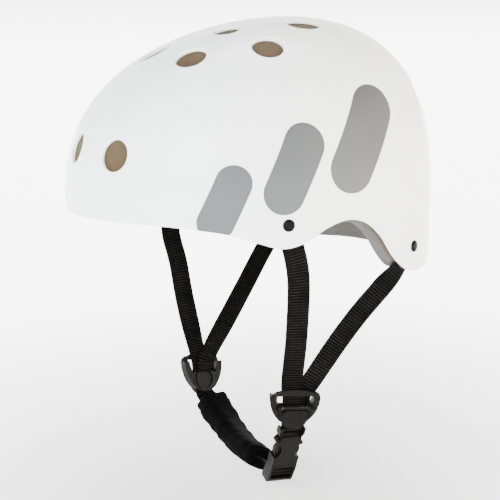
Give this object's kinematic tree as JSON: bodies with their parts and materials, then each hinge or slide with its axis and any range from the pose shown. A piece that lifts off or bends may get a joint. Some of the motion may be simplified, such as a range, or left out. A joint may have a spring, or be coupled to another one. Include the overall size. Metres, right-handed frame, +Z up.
{
  "type": "water sports helmet",
  "caption": "Hard-shell helmet for water sports with round vents, foam liner, comfort pads, webbing harness, side-release buckle and padded chin strap.",
  "frame": {"origin": "head seat on the mid-plane, below the crown, level with the front rim", "axes": "-Y is the way the wearer faces, +X is the wearer's left, +Z is up towards the crown"},
  "size_m": [0.2262, 0.2801, 0.3529],
  "materials": {
    "shell_plastic": "glossy moulded white",
    "tan_foam": "matte closed-cell foam",
    "grey_foam": "smooth moulded foam skin",
    "hook_tape": "hook tape",
    "pad_fabric": "brushed mesh fabric",
    "rivet_black": "glossy black",
    "washer_steel": "stainless",
    "webbing": "ribbed woven nylon",
    "black_plastic": "satin moulded",
    "sleeve_fabric": "soft knitted fabric"
  },
  "bodies": {
    "helmet": {"outer_shell": "shell_plastic", "foam_backing": "tan_foam", "impact_liner": "grey_foam", "hook_patches": "hook_tape", "front_pad": "pad_fabric", "rear_pad": "pad_fabric", "left_side_pad": "pad_fabric", "right_side_pad": "pad_fabric", "crown_pad": "pad_fabric", "strap_rivets": "rivet_black", "rivet_washers": "washer_steel", "left_front_strap": "webbing", "left_rear_strap": "webbing", "right_front_strap": "webbing", "right_rear_strap": "webbing", "left_divider": "black_plastic", "left_divider_pin": "washer_steel", "right_divider": "black_plastic", "right_divider_pin": "washer_steel", "left_drop_strap": "webbing", "buckle_plug": "black_plastic"},
    "left_flap": {"left_divider_flap": "black_plastic"},
    "right_flap": {"right_divider_flap": "black_plastic"},
    "front_prong": {"buckle_prong_front": "black_plastic"},
    "rear_prong": {"buckle_prong_rear": "black_plastic"},
    "socket": {"buckle_socket": "black_plastic", "chin_strap": "webbing", "chin_sleeve": "sleeve_fabric"}
  },
  "joints": [
    {"name": "buckle_release", "type": "slide", "parent": "helmet", "child": "socket", "axis": [-0.3299, -0.09, -0.9397], "range_m": [0, 0.024], "deforming": ["chin_strap", "chin_sleeve", "buckle_prong_front", "buckle_prong_rear"]},
    {"name": "front_prong_squeeze", "type": "hinge", "parent": "helmet", "child": "front_prong", "pos_m": [0.05765, -0.02897, -0.1746], "axis": [0.944, -0.0314, -0.3284], "range_deg": [0, 7], "stiffness_Nm_per_rad": 0.02},
    {"name": "rear_prong_squeeze", "type": "hinge", "parent": "helmet", "child": "rear_prong", "pos_m": [0.05765, -0.01603, -0.17584], "axis": [-0.944, 0.0314, 0.3284], "range_deg": [0, 7], "stiffness_Nm_per_rad": 0.02},
    {"name": "left_flap_open", "type": "hinge", "parent": "helmet", "child": "left_flap", "pos_m": [0.07151, -0.0249, -0.14749], "axis": [-0.33, -0.9436, 0.0255], "range_deg": [0, 95]},
    {"name": "right_flap_open", "type": "hinge", "parent": "helmet", "child": "right_flap", "pos_m": [-0.06895, -0.04462, -0.1569], "axis": [-0.202, 0.9717, -0.1226], "range_deg": [0, 95]}
  ],
  "couplings": [
    {"joint": "rear_prong_squeeze", "follows": "front_prong_squeeze", "ratio": 1}
  ]
}
